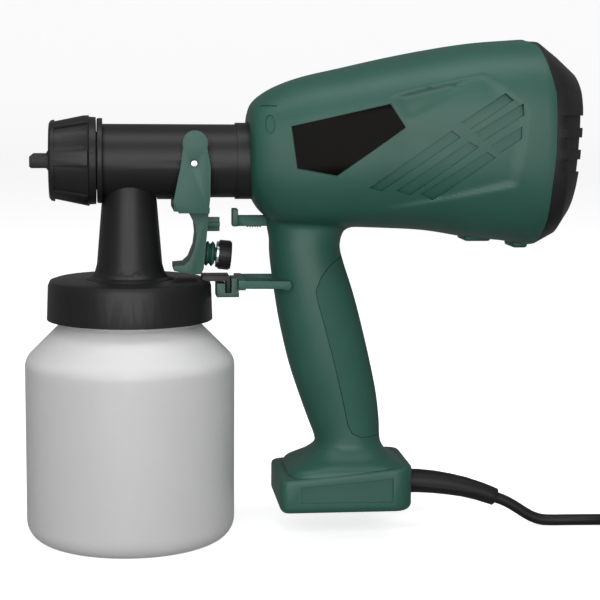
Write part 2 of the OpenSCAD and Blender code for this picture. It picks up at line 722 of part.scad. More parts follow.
// Finned stem that the flow knob screws onto
module flow_screw() {
    color(green) {
        on_knob_axis() rotate([0, 90, 0]) {
            translate([0, 0, 0.3]) cylinder(r = 4.6, h = 4.7);
            for (k = [0 : 1]) translate([0, 0, 0.6 + 2.4 * k]) rotate_extrude($fn = 48)
                polygon([[4, -0.3], [4.6, -0.3], [5.9, 0.7], [5.9, 1.1], [4.6, 2.1], [4, 2.1]]);
            translate([0, 0, 0.3]) cylinder(r = 3.2, h = 10.3);
        }
    }
}

// Pins that the trigger turns on
module trigger_pins() {
    color("#dfe2e3") for (s = [-1, 1]) bar_y(pivot_x, pivot_z, pin_r, s * 18 - 2.6, s * 18 + 2.6);
}

// Friction ring in front of the knob
module flow_ring() {
    color("#b5c2bb") on_knob_axis() rotate([0, 90, 0]) difference() {
        translate([0, 0, 5.9]) cylinder(r = 6.2, h = 0.9);
        translate([0, 0, 5]) cylinder(r = 3.2 + fit, h = 4);
    }
}

// Knurled knob that sets how far the trigger moves
module flow_knob() {
    color(black) on_knob_axis() rotate([0, 90, 0]) difference() {
        union() {
            translate([0, 0, 6.9]) cylinder(r = 6.5, h = 6);
            for (k = [0 : 23]) rotate([0, 0, k * 15]) translate([6, -0.4, 7.3]) cube([1, 0.8, 5]);
        }
        translate([0, 0, 6]) cylinder(r = 3.2 + fit, h = 5.2);
    }
}

// Bar whose hook holds the lid's tab, turning on pins in the handle
module latch_bar() {
    color(green) {
        for (s = [-1, 1]) {
            side_plate([[52, 121.3], [71, 121.1], [72.6, 120.4], [74.6, 120.3], [75.6, 122.6], [74.6, 124.8], [52, 124.9]],
                s * 15.4 - 1.2, s * 15.4 + 1.2);
            bar_y(latch_x, latch_z, 1.6, s * 12.4 - 2.2, s * 12.4 + 2.2);
        }
        translate([50.4, -16.6, 120.6]) cube([3.4, 33.2, 4.6]);
        translate([47.8, -7, 120.6]) cube([4, 14, 4.6]);
        translate([40.8, -7, 116.2]) cube([10.6, 14, 2]);
        translate([40.8, -7, 116.2]) cube([4, 14, 6.6]);
        translate([47.8, -7, 116.2]) cube([3.4, 14, 7]);
    }
}

housing_left();
housing_right();
rear_cap();
air_filter();
grip_insert();
badge_left();
badge_right();
housing_screws();
air_duct();
duct_seal();
turbine_case();
turbine_fan();
front_bracket();
rear_bracket();
motor_mounts();
stator();
field_coils();
front_bearing();
rear_bearing();
motor_shaft();
armature();
commutator();
brush_holders();
carbon_brushes();
switch_body();
switch_plunger();
capacitor();
inner_leads();
cord_clamp();
clamp_screws();
strain_relief();
cord_lead();
cord_coil();
cord_tail();
coil_tie();
plug_body();
plug_pins();
spray_body();
stop_ring();
fluid_body();
needle_gland();
paint_needle();
needle_spring();
paint_nozzle();
cap_washer();
air_cap();
retaining_nut();
suction_tube();
bottle_gasket();
bottle();
bottle_neck();
lid_skirt();
thread_collar();
trigger();
trigger_pins();
flow_screw();
flow_ring();
flow_knob();
latch_bar();
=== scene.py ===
# %% [markdown]
# # A hand-held turbine paint sprayer
#
# The real tool is a pistol-grip motor housing in moulded green plastic. A turbine inside it blows air
# through a black barrel, a trigger draws a needle back, and paint rises from a white bottle below.
#
# The working model comes in as a fixed frame: every part in it already has its true size and place.
# This lesson only adds looks: better shapes where a plain part shows, and a material for everything.

import json
import math

import bmesh
import bpy
from mathutils import Matrix, Vector

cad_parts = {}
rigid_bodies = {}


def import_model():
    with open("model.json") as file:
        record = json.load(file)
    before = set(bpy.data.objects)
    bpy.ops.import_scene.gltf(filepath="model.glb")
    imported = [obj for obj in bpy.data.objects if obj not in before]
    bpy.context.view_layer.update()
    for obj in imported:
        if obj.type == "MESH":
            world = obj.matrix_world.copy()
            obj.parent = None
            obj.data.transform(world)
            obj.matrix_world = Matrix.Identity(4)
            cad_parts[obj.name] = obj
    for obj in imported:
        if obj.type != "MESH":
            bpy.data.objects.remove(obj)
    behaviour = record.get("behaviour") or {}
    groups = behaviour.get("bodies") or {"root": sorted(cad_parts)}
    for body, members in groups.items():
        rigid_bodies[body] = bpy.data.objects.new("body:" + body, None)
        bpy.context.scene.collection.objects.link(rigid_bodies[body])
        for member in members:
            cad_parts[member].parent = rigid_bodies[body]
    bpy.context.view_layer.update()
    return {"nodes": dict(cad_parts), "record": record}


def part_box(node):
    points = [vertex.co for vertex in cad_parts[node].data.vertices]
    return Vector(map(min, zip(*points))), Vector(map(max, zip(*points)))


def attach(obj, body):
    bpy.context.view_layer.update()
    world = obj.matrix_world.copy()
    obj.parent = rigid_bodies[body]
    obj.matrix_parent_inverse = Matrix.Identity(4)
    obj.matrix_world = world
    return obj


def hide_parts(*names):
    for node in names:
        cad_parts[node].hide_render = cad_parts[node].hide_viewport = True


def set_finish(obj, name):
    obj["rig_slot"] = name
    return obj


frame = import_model()

MM = 0.001


def mm(*values):
    """A point given in millimetres, in metres."""
    return Vector([v * MM for v in values])


# %% [markdown]
# ## Camera
#
# The camera stands about 0.8 m away, a little above the tool and a little towards its nozzle. It could
# be aimed by an empty and a constraint, but a matrix built from three plain angles is easier to read
# and never moves by accident.

# %% Camera
look_at = mm(81.2, 0, 113.8)
distance = 792 * MM
down = math.radians(7.2)
towards_nozzle = math.radians(6.5)
lean = math.radians(0.4)
view_angle = 2 * math.atan(300 / 1650)

ahead = Vector((
    math.sin(towards_nozzle) * math.cos(down), math.cos(towards_nozzle) * math.cos(down), -math.sin(down),
))
right = Vector((math.cos(towards_nozzle), -math.sin(towards_nozzle), 0))
up = right.cross(ahead)
lens = bpy.data.cameras.new("camera")
lens.angle = view_angle
lens.clip_start = 0.01
camera = bpy.data.objects.new("camera", lens)
bpy.context.scene.collection.objects.link(camera)
leaned_right = right * math.cos(lean) + up * math.sin(lean)
leaned_up = up * math.cos(lean) - right * math.sin(lean)
turn = Matrix((leaned_right, leaned_up, -ahead)).transposed()
camera.matrix_world = Matrix.Translation(look_at - ahead * distance) @ turn.to_4x4()
bpy.context.scene.camera = camera
print("camera at", [round(v, 3) for v in camera.location])

# %% [markdown]
# ## Cord
#
# The lead is 5.5 mm rubber, about 1.93 m long. It leaves the strain relief, drops to the bench, and the
# rest is wound up as two flat layers of turns, one on the other, with the plug resting on top. A cloth or
# rope simulation could lay it, but a curve through chosen points keeps its length and its lay every time.

# %% Cord route
cord_d = 5.5
lead_route = [
    (178.7, 0, 15.06), (183, 0, 13.4), (187, 0, 11.3), (191, 0, 8.8), (195, 0, 6.2),
    (199, 0, 4.2), (203, 0, 3.1), (208, 0, 2.75), (216, -0.4, 2.75), (226, -1, 2.75), (236, -1.4, 2.75),
    (246, -1, 2.75), (254, -0.4, 2.75), (262, 0, 2.75),
]
tail_route = [
    (316.5, -59.5, 8.25), (311, -69.9, 9.2), (303.1, -78.6, 10.9), (293.1, -85, 12.8), (281.9, -88.5, 14.2),
    (271.5, -88.1, 15.3), (262.2, -83.3, 16.8), (255.9, -75, 18.5), (253.7, -64.9, 20), (253.7, -59, 20.3),
]
coil_x, coil_y = 274, -44
outer_turn, inner_turn = 45.2, 22
steps_a_layer, degrees_a_step = 65, 23

coil_route = []
for i in range(2 * steps_a_layer):
    share = i / steps_a_layer if i <= steps_a_layer else 2 - i / steps_a_layer
    radius = outer_turn + (inner_turn - outer_turn) * share
    angle = math.radians(90 - degrees_a_step * i)
    climb = min(max((i - steps_a_layer + 4) / 10, 0), 1)
    height = cord_d / 2 + cord_d * climb * climb * (3 - 2 * climb)
    coil_route.append((coil_x + radius * math.cos(angle), coil_y + radius * math.sin(angle), height))
route = lead_route + coil_route + tail_route


# %% Cord curve
def smooth_tube(name, points, thickness, fine=3):
    """A round tube along a smooth curve through points given in millimetres.

    Its thickness is each knot's own radius, so that the curve's box comes out at its true size.
    """
    line = bpy.data.curves.new(name, "CURVE")
    line.dimensions = "3D"
    line.resolution_u = fine
    line.bevel_depth = 1
    line.bevel_resolution = 3
    line.use_fill_caps = True
    spline = line.splines.new("BEZIER")
    spline.bezier_points.add(len(points) - 1)
    for knot, point in zip(spline.bezier_points, points):
        knot.co = mm(*point)
        knot.radius = thickness / 2 * MM
        knot.handle_left_type = knot.handle_right_type = "AUTO"
    tube = bpy.data.objects.new(name, line)
    bpy.context.scene.collection.objects.link(tube)
    return tube


cord = smooth_tube("mains_cord", route, cord_d)
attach(cord, "gun")
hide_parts("cord_lead", "cord_coil", "cord_tail")
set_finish(cord, "cord")
print("cord", len(route), "knots")

# %% [markdown]
# ## Room and light
#
# Product tools like this are lit softly from the front, so that round shapes are pale in the middle and
# fall to dark at their edges. One wide panel stands behind the camera, a long one hangs above the tool
# for the band of light along its back, and the room itself gives the rest. The floor, made
# further down, is one pale sheet that curves up far away.

# %% Lights
def panel(name, place, aim, width, height, power):
    """A soft rectangular light at place, turned to aim, both in metres."""
    lamp = bpy.data.lights.new(name, "AREA")
    lamp.shape = "RECTANGLE"
    lamp.size = width
    lamp.size_y = height
    lamp.energy = power
    stand = bpy.data.objects.new(name, lamp)
    bpy.context.scene.collection.objects.link(stand)
    stand.location = place
    stand.rotation_euler = (Vector(aim) - Vector(place)).to_track_quat("-Z", "Y").to_euler()
    return stand


panel("front_panel", (-0.1, -1.7, 0.5), (0.08, 0, 0.12), 2.0, 1.4, 35)
panel("top_panel", (0.1, -0.25, 1.3), (0.1, 0, 0.1), 1.6, 0.5, 10)
studio = bpy.data.worlds.new("studio")
bpy.context.scene.world = studio
studio.use_nodes = True
studio.node_tree.nodes["Background"].inputs["Color"].default_value = (1, 1, 1, 1)
studio.node_tree.nodes["Background"].inputs["Strength"].default_value = 0.24
bpy.context.scene.view_settings.view_transform = "Standard"

# %% [markdown]
# ## Tools for making pieces
#
# A few steps come back for every piece: select it alone, cut one shape with another, round its edges,
# and settle it on its body. Each is a short helper, so that the cells below read like a work list.

# %% Helpers
def pick(*things):
    """Select these objects only, with the first one active."""
    bpy.ops.object.select_all(action="DESELECT")
    for thing in things:
        thing.select_set(True)
    bpy.context.view_layer.objects.active = things[0]


def use_modifiers(piece):
    """Turn the piece's modifiers into plain mesh."""
    pick(piece)
    for modifier in list(piece.modifiers):
        bpy.ops.object.modifier_apply(modifier=modifier.name)


def combine(piece, other, how, keep=False):
    """Cut other out of piece, add it to piece or keep only what both fill."""
    step = piece.modifiers.new("combine", "BOOLEAN")
    step.operation = how
    step.solver = "EXACT"
    step.object = other
    use_modifiers(piece)
    if not keep:
        bpy.data.objects.remove(other)
    return piece


def twin(piece, name):
    """A copy of a piece with a mesh of its own."""
    copy = bpy.data.objects.new(name, piece.data.copy())
    bpy.context.scene.collection.objects.link(copy)
    return copy


def clean(piece):
    """Merge loose triangles and make flat faces whole."""
    pick(piece)
    bpy.ops.object.mode_set(mode="EDIT")
    bpy.ops.mesh.select_all(action="SELECT")
    bpy.ops.mesh.remove_doubles(threshold=0.03 * MM)
    bpy.ops.mesh.dissolve_degenerate(threshold=0.03 * MM)
    bpy.ops.mesh.dissolve_limited(angle_limit=math.radians(1))
    bpy.ops.object.mode_set(mode="OBJECT")
    return piece


def round_edges(piece, width, segments=2, sharp=30):
    """Round every edge sharper than the given angle, by a width in millimetres."""
    step = piece.modifiers.new("round", "BEVEL")
    step.width = width * MM
    step.segments = segments
    step.limit_method = "ANGLE"
    step.angle_limit = math.radians(sharp)
    step.use_clamp_overlap = True
    use_modifiers(piece)
    return piece


def settle(piece, body, slot, replaced=(), smooth=35):
    """Put the piece's place into its mesh, smooth it and let it ride on its body."""
    pick(piece)
    bpy.ops.object.transform_apply(location=True, rotation=True, scale=True)
    bpy.ops.object.shade_smooth_by_angle(angle=math.radians(smooth))
    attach(piece, body)
    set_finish(piece, slot)
    if replaced:
        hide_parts(*replaced)
    print(piece.name, len(piece.data.polygons), "faces")
    return piece


def block(name, low, high):
    """A box between two corners in millimetres."""
    bpy.ops.mesh.primitive_cube_add(size=1, location=(mm(*low) + mm(*high)) / 2)
    made = bpy.context.object
    made.name = name
    made.scale = mm(*high) - mm(*low)
    bpy.ops.object.transform_apply(location=True, rotation=True, scale=True)
    return made


def rod(name, start, end, radius, sides=48):
    """A round bar from one point to another, in millimetres."""
    a, b = mm(*start), mm(*end)
    bpy.ops.mesh.primitive_cylinder_add(
        vertices=sides, radius=radius * MM, depth=(b - a).length, location=(a + b) / 2)
    made = bpy.context.object
    made.name = name
    made.rotation_mode = "QUATERNION"
    made.rotation_quaternion = (b - a).to_track_quat("Z", "Y")
    bpy.ops.object.transform_apply(location=True, rotation=True, scale=True)
    return made


def side_plate(name, outline, near, far):
    """A flat plate with an outline of (x, z) points, from y = near to y = far, in millimetres."""
    bpy.ops.mesh.primitive_circle_add(vertices=len(outline), fill_type="NGON")
    made = bpy.context.object
    made.name = name
    for vertex, (x, z) in zip(made.data.vertices, outline):
        vertex.co = mm(x, near, z)
    bpy.ops.object.transform_apply(location=True, rotation=True, scale=True)
    bpy.ops.object.mode_set(mode="EDIT")
    bpy.ops.mesh.select_all(action="SELECT")
    bpy.ops.mesh.extrude_region_move(TRANSFORM_OT_translate={"value": (0, (far - near) * MM, 0)})
    bpy.ops.mesh.select_all(action="SELECT")
    bpy.ops.mesh.normals_make_consistent(inside=False)
    bpy.ops.object.mode_set(mode="OBJECT")
    return made


def from_frame(node, name):
    """A copy of a frame node as a clean mesh: its loose triangles merged, its flat faces whole."""
    made = bpy.data.objects.new(name, frame["nodes"][node].data.copy())
    bpy.context.scene.collection.objects.link(made)
    made.data.materials.clear()
    return clean(made)


def join(name, *things):
    """Several meshes as one object."""
    pick(*things)
    bpy.ops.object.join()
    made = bpy.context.object
    made.name = name
    return made


def loft(name, rings):
    """A closed skin through rings of points in millimetres, drawn out ring by ring."""
    count = len(rings[0])
    bpy.ops.mesh.primitive_circle_add(vertices=count, fill_type="NOTHING")
    made = bpy.context.object
    made.name = name
    bpy.ops.object.transform_apply(location=True, rotation=True, scale=True)
    bpy.ops.object.mode_set(mode="EDIT")
    bpy.ops.mesh.select_all(action="SELECT")
    mesh = bmesh.from_edit_mesh(made.data)
    place = mesh.verts.layers.int.new("place")
    for i, vertex in enumerate(mesh.verts):
        vertex[place] = i
    for i, ring in enumerate(rings):
        if i:
            bpy.ops.mesh.extrude_edges_move(TRANSFORM_OT_translate={"value": (0, 0, 0)})
        mesh = bmesh.from_edit_mesh(made.data)
        place = mesh.verts.layers.int["place"]
        for vertex in mesh.verts:
            if vertex.select:
                vertex.co = mm(*ring[vertex[place]])
    bmesh.update_edit_mesh(made.data)
    bpy.ops.mesh.edge_face_add()
    bpy.ops.mesh.select_all(action="DESELECT")
    bpy.ops.mesh.select_non_manifold()
    bpy.ops.mesh.edge_face_add()
    bpy.ops.mesh.select_all(action="SELECT")
    bpy.ops.mesh.normals_make_consistent(inside=False)
    bpy.ops.object.mode_set(mode="OBJECT")
    return made


def turned(name, outline, steps=128):
    """A shape spun round the upright axis from an open outline of (radius, height) points."""
    bpy.ops.mesh.primitive_circle_add(vertices=len(outline) + 1, fill_type="NOTHING")
    made = bpy.context.object
    made.name = name
    bpy.ops.object.transform_apply(location=True, rotation=True, scale=True)
    bpy.ops.object.mode_set(mode="EDIT")
    mesh = bmesh.from_edit_mesh(made.data)
    mesh.verts.ensure_lookup_table()
    bmesh.ops.delete(mesh, geom=[mesh.verts[len(outline)]], context="VERTS")
    mesh.verts.ensure_lookup_table()
    for vertex, (radius, height) in zip(mesh.verts, outline):
        vertex.co = mm(radius, 0, height)
    bmesh.update_edit_mesh(made.data)
    bpy.ops.mesh.select_all(action="SELECT")
    bpy.ops.mesh.spin(steps=steps, angle=2 * math.pi, center=(0, 0, 0), axis=(0, 0, 1))
    bpy.ops.mesh.select_all(action="SELECT")
    bpy.ops.mesh.remove_doubles(threshold=0.01 * MM)
    bpy.ops.mesh.normals_make_consistent(inside=False)
    bpy.ops.object.mode_set(mode="OBJECT")
    return made


# %% Floor
# A shallow bowl: flat for four metres, then rising into a pale wall all round
floor_outline = [(0, 0), (4000, 0), (4500, 120), (4850, 500), (5000, 1200), (5100, 6000)]
floor = turned("floor", floor_outline, 96)
pick(floor)
bpy.ops.object.shade_smooth()
print("floor spans", [round(v, 2) for v in floor.dimensions])

# %% [markdown]
# ## Housing
#
# The motor housing is two moulded shells. A body swells from the nose to the back, a handle hangs from
# it, and a boxy foot closes the handle. Box modelling could reach this shape by eye, but sections taken
# along the body and down the handle follow the tool exactly, so both are drawn out ring by ring. The
# foot starts as a block, because it has flat sides.

# %% Housing sections
# Body: x, top, bottom, half width. Handle: z, front, back, half width, squareness.
body_sections = [
    (55.8, 203, 168, 20), (57.5, 207.4, 162.5, 24), (62, 211.6, 156, 27), (70, 216, 150.5, 30),
    (82, 220.2, 149, 33.5), (100, 224.4, 149.3, 37), (120, 229, 148.8, 39.5), (140, 233, 147.6, 41),
    (160, 236.2, 144.4, 42), (178, 237.8, 142.6, 42.2), (187, 238.3, 140.8, 42.2),
    (192, 237.4, 141, 42), (196, 234.4, 142, 41.2), (200, 231.2, 145.5, 39.4),
    (205.5, 226.8, 153.5, 35.5), (211, 222, 161, 29.5),
]
handle_sections = [
    (166, 64, 108, 15, 0.95), (152, 64, 104, 15.6, 0.95), (145, 66, 100.6, 16, 0.95),
    (139, 66.1, 100.1, 16.2, 0.95), (131, 66.8, 102.2, 16.6, 0.95), (118, 68.7, 106.5, 17.2, 0.95),
    (103, 71.3, 110.6, 17.4, 0.95), (84, 75.8, 115.2, 17.2, 0.95), (69, 80.7, 118.3, 16.6, 0.95),
    (56, 85.4, 119.9, 16, 0.95), (47.5, 88.6, 120.3, 15.8, 0.9), (43.5, 88.4, 121.4, 16.4, 0.8),
    (39.5, 84, 124.6, 19.4, 0.65), (36.5, 79.2, 129.6, 23.4, 0.5), (34, 75.2, 131.6, 25.2, 0.42),
    (30, 74, 131, 25.6, 0.38), (24, 74, 131, 25.6, 0.38),
]
body_squareness = 0.78
# How far each low panel is let in, and how wide the ramp at its edge is
panel_depth, panel_ramp = 1.2, 2.2
wedge_depth, wedge_ramp = 0.7, 1.6
panel_start, panel_fade = 112, 14


def eased(rows, steps):
    """Rows with smooth in-between rows."""
    out = []
    for i in range(len(rows) - 1):
        before, a, b, after = (rows[min(max(j, 0), len(rows) - 1)] for j in (i - 1, i, i + 1, i + 2))
        for k in range(steps):
            u = k / steps
            out.append([
                0.5 * (2 * q + (r - p) * u + (2 * p - 5 * q + 4 * r - s) * u * u
                       + (3 * q - p - 3 * r + s) * u ** 3)
                for p, q, r, s in zip(before, a, b, after)
            ])
    return out + [list(rows[-1])]


def softened_power(value, power):
    """A power that keeps its value's sign; below 1 it makes an oval squarer."""
    return math.copysign(abs(value) ** power, value)


def dip(x, z, outline, ramp):
    """How far inside an outline a point lies, from 0 at its edge to 1 beyond the ramp."""
    inside, nearest = False, 1e9
    for (ax, az), (bx, bz) in zip(outline, outline[1:] + outline[:1]):
        if (az > z) != (bz > z) and x < (bx - ax) * (z - az) / (bz - az) + ax:
            inside = not inside
        share = ((x - ax) * (bx - ax) + (z - az) * (bz - az)) / ((bx - ax) ** 2 + (bz - az) ** 2)
        share = min(max(share, 0), 1)
        nearest = min(nearest, math.hypot(x - ax - share * (bx - ax), z - az - share * (bz - az)))
    t = min(nearest / ramp, 1) if inside else 0
    return t * t * (3 - 2 * t)


# The side's large low panel, and the shallower wedge let into it, as (x, z) corners
side_panel = [(112, 201), (118, 212), (161.5, 222), (170, 214.5), (180.5, 206), (179, 190), (175.5, 171),
    (140, 163), (112, 158)]
wedge_panel = [(125.5, 200), (120.5, 211), (160, 220.4)]


def body_form(name, inset=0, count=192, steps=8, panels=False):
    """The body, drawn in by an inset in millimetres, with its low side panels if they are asked for."""
    rings = []
    for x, top, bottom, half in eased(body_sections, steps):
        if x < body_sections[0][0] + inset or x > body_sections[-1][0] - inset:
            continue
        middle, tall, wide = (top + bottom) / 2, (top - bottom) / 2 - inset, half - inset
        ring = []
        for j in range(count):
            t = 2 * math.pi * j / count
            y = wide * softened_power(math.cos(t), body_squareness)
            z = middle + tall * softened_power(math.sin(t), body_squareness)
            if panels and abs(y) > 15:
                fade = min(max((x - panel_start) / panel_fade, 0), 1)
                depth = panel_depth * fade * dip(x, z, side_panel, panel_ramp)
                depth += wedge_depth * dip(x, z, wedge_panel, wedge_ramp)
                y -= math.copysign(depth, y)
            ring.append((x, y, z))
        rings.append(ring)
    return loft(name, rings)


def handle_form(name, inset=0, count=96, steps=4):
    """The handle, drawn in by an inset in millimetres."""
    rings = []
    for z, front, back, half, power in eased(handle_sections, steps):
        if z < handle_sections[-1][0] + inset:
            continue
        middle, deep, wide = (front + back) / 2, (back - front) / 2 - inset, half - inset
        turn = [2 * math.pi * j / count for j in range(count)]
        rings.append([
            (middle + deep * softened_power(math.cos(t), power), wide * softened_power(math.sin(t), power), z)
            for t in turn
        ])
    return loft(name, rings)


# %% Foot
# Its top slopes down from the handle's back to the front
foot_front_top = 30.8
foot = block("foot", (69.8, -26.5, 15), (133.4, 26.5, 36.6))
for vertex in foot.data.vertices:
    if vertex.co.z > 30 * MM and vertex.co.x < 100 * MM:
        vertex.co.z = foot_front_top * MM


def bevel_where(piece, test, width, segments):
    """Round the edges whose middle and direction pass a test, by a width in millimetres."""
    pick(piece)
    bpy.ops.object.mode_set(mode="EDIT")
    bpy.ops.mesh.select_mode(type="EDGE")
    bpy.ops.mesh.select_all(action="DESELECT")
    mesh = bmesh.from_edit_mesh(piece.data)
    for edge in mesh.edges:
        a, b = edge.verts[0].co, edge.verts[1].co
        edge.select_set(test((a + b) / 2 / MM, (b - a).normalized()))
    bmesh.update_edit_mesh(piece.data)
    bpy.ops.mesh.bevel(offset=width * MM, segments=segments, affect="EDGES")
    bpy.ops.object.mode_set(mode="OBJECT")


# Back corners, front corners, the edge round the base, the edge round the top
bevel_where(foot, lambda at, way: abs(way.z) > 0.9 and at.x > 100, 9, 6)
bevel_where(foot, lambda at, way: abs(way.z) > 0.9 and at.x < 80, 4.5, 5)
bevel_where(foot, lambda at, way: abs(way.z) < 0.3 and at.z < 16, 3.2, 4)
bevel_where(foot, lambda at, way: abs(way.z) < 0.3 and at.z > 30, 1.6, 3)
print("foot", len(foot.data.polygons), "faces")

# %% Housing solid
housing = body_form("housing", panels=True)
combine(housing, handle_form("handle"), "UNION")
combine(housing, foot, "UNION")
# Two small lugs under the body
lugs = [((159, -9, 142.6), (172, 9, 150)), ((182.5, -9, 139.4), (190, 9, 147))]
for low, high in lugs:
    combine(housing, round_edges(block("lug", low, high), 1.4, 3), "UNION")


def ease_corner(piece, test, passes):
    """Soften the corner where two forms meet, for the points that pass a test in millimetres."""
    pick(piece)
    bpy.ops.object.mode_set(mode="EDIT")
    bpy.ops.mesh.select_mode(type="VERT")
    bpy.ops.mesh.select_all(action="DESELECT")
    mesh = bmesh.from_edit_mesh(piece.data)
    for vertex in mesh.verts:
        vertex.select_set(test(vertex.co / MM))
    bmesh.update_edit_mesh(piece.data)
    bpy.ops.mesh.vertices_smooth(factor=0.5, repeat=passes)
    bpy.ops.object.mode_set(mode="OBJECT")


# Where the handle grows out of the body
ease_corner(housing, lambda p: 60 < p.x < 112 and 141 < p.z < 153 and abs(p.y) < 26, 14)
print("housing", len(housing.data.polygons), "faces")

# %% [markdown]
# ## Recesses in the housing
#
# The shell is hollow, open at the nose and the back. Seats are let into it for the badge, the soft grip
# panel and the vent bars. The screw wells go right through the right half's wall, because the bosses that
# would close them inside aren't drawn here. A recess that must keep an even depth on a curved wall is cut
# with a shape that has the same curved wall, set in by that depth.

# %% Cutters
badge_outline = [(73.2, 197.4), (118, 208), (124.8, 197.4), (93.6, 174.8), (75.8, 178)]
grip_outline = [
    (130, 137.5), (99.6, 135.6), (93.6, 132), (89, 126.4), (86.6, 120), (87.6, 115), (91.6, 101),
    (96.6, 82), (100.6, 65), (102.6, 55.4), (105, 51), (109, 49.2), (130, 48.8),
]
# Vent bars: corners of each slanted bar, seen from the side
vent_bars = [
    [(108.4, 169.6), (145.4, 196), (149.6, 193), (114.4, 168.2)],
    [(121, 168.4), (153.4, 191), (158, 188.6), (127.6, 166.2)],
    [(132.4, 167), (162, 186.4), (166, 183.8), (138, 163.8)],
    [(149.8, 199.6), (170.4, 213), (174, 209.8), (154.4, 196.6)],
    [(156.4, 195), (178.4, 208.4), (178.6, 203), (160.4, 191.4)],
    [(163.6, 189.2), (178, 198), (177.8, 192.4), (167.6, 185.6)],
]
screw_places = [(65.5, 205.6), (150, 224.6), (185.4, 150.4), (86, 113), (101, 62), (84, 24.6)]
seam = [
    (260, 260), (185, 260), (185.6, 237.6), (189.7, 235), (191.8, 226), (194.4, 213), (194.2, 186),
    (192.8, 169), (192.6, 154.5), (191.6, 142), (191, 120), (260, 120),
]


def shifted(outline, x):
    """The outline moved along the tool."""
    return [(px + x, pz) for px, pz in outline]


hollow = body_form("hollow", 3.6, count=96, steps=3)
combine(hollow, handle_form("handle_hollow", 4.4, count=64), "UNION")
combine(housing, hollow, "DIFFERENCE")
combine(housing, side_plate("behind_seam", seam, -60, 60), "DIFFERENCE")

badge_seat = side_plate("badge_seat", badge_outline, -60, 60)
combine(badge_seat, body_form("badge_floor", 1.0), "DIFFERENCE")
combine(housing, badge_seat, "DIFFERENCE")

grip_skin = handle_form("grip_skin", -1)
combine(grip_skin, handle_form("grip_floor", 1.8), "DIFFERENCE")
combine(grip_skin, side_plate("grip_edge", grip_outline, -60, 60), "INTERSECT")
combine(housing, grip_skin, "DIFFERENCE")

vents = join("vents", *[side_plate(f"vent_{i}", bar, -60, 60) for i, bar in enumerate(vent_bars)])
combine(vents, body_form("vent_floor", 2.3), "DIFFERENCE")
combine(housing, vents, "DIFFERENCE")
print("housing", len(housing.data.polygons), "faces")

# %% Openings
openings = [
    rod("nose_hole", (50, 0, 180.3), (76, 0, 180.3), 18.3, 96),
    rod("cord_hole", (120, 0, 24.3), (150, 0, 24.3), 6.3),
    rod("clamp_groove", (125.8, 0, 24.3), (129.3, 0, 24.3), 8),
    block("plunger_slot", (55, -3.4, 148.6), (79, 3.4, 155.4)),
]
for cutter in openings:
    combine(housing, cutter, "DIFFERENCE")

# A plain oval ring and a line above it, on the left of the nose
mark_x, mark_z = 64, 198


def stretch_mark(piece, wide, long=1, tall=1):
    """Stretch the mark about its middle."""
    for vertex in piece.data.vertices:
        vertex.co.x = mark_x * MM + (vertex.co.x - mark_x * MM) * wide
        vertex.co.y *= long
        vertex.co.z = mark_z * MM + (vertex.co.z - mark_z * MM) * tall


mark = rod("mark", (mark_x, -60, mark_z), (mark_x, -10, mark_z), 1)
stretch_mark(mark, 2.3, tall=4.4)
mark_core = twin(mark, "mark_core")
stretch_mark(mark_core, 0.72, 1.2, 0.84)
combine(mark, mark_core, "DIFFERENCE")
mark = join("mark", mark, block("mark_line", (60.4, -60, 206), (67.4, -10, 206.7)))
combine(mark, body_form("mark_floor", 0.45), "DIFFERENCE")
combine(housing, mark, "DIFFERENCE")
for x, z in screw_places:
    combine(housing, rod("screw_well", (x, 12, z), (x, 60, z), 3.5), "DIFFERENCE")
foot_panel = [(79.4, 28), (123.3, 31.6), (123.5, 20), (79.5, 20.4)]
foot_panel_floor = 25.4
for side in (-1, 1):
    near, far = sorted((side * foot_panel_floor, side * 60))
    combine(housing, side_plate("foot_panel", foot_panel, near, far), "DIFFERENCE")
print("housing", len(housing.data.polygons), "faces")

# %% Housing halves
# The halves stop just short of each other, which leaves the moulding's parting line
half_gap = 0.06
for side, name in ((-1, "left"), (1, "right")):
    near, far = sorted((side * half_gap, side * 60))
    half = twin(housing, f"housing_{name}_shell")
    combine(half, block("side", (0, near, 0), (300, far, 300)), "INTERSECT")
    settle(half, "gun", "green_shell", [f"housing_{name}"])
bpy.data.objects.remove(housing)

# %% [markdown]
# ## Badge and grip panel
#
# The badge is a thin plate glued in its seat, and the grip panel is a soft moulding let into the
# handle's back. Both follow the curved wall, so they are cut from the same forms as their seats, and a
# little smaller, which leaves a fine gap between each of them and its seat.

# %% Badge
badge = body_form("badge", 0.1)
combine(badge, body_form("badge_back", 0.95), "DIFFERENCE")
badge_x, badge_z = 98, 192
shrink_x, shrink_z = 0.985, 0.975
smaller = [(badge_x + (x - badge_x) * shrink_x, badge_z + (z - badge_z) * shrink_z) for x, z in badge_outline]
combine(badge, side_plate("badge_edge", smaller, -60, 60), "INTERSECT")
for side, name in ((-1, "left"), (1, "right")):
    near, far = sorted((0, side * 60))
    plate = twin(badge, f"badge_{name}_plate")
    combine(plate, block("side", (0, near, 0), (300, far, 300)), "INTERSECT")
    settle(plate, "gun", "badge", [f"badge_{name}"])
bpy.data.objects.remove(badge)

# %% Grip panel
grip = handle_form("grip_panel")
combine(grip, handle_form("grip_back", 1.7), "DIFFERENCE")
grip_z, grip_gap, shrink_z = 92, 0.25, 0.995
smaller = [(x + grip_gap if x < 120 else x, grip_z + (z - grip_z) * shrink_z) for x, z in grip_outline]
combine(grip, side_plate("grip_edge", smaller, -60, 60), "INTERSECT")
settle(grip, "gun", "grip_soft", ["grip_insert"])

# %% [markdown]
# ## Filter cap
#
# The cap over the motor's air intake is black, with flat slanting faces and three slots that run round
# the back. Its flats need crisp edges, so it is drawn out through four rings with straight walls between
# them, and the edges where its faces meet are rounded afterwards.

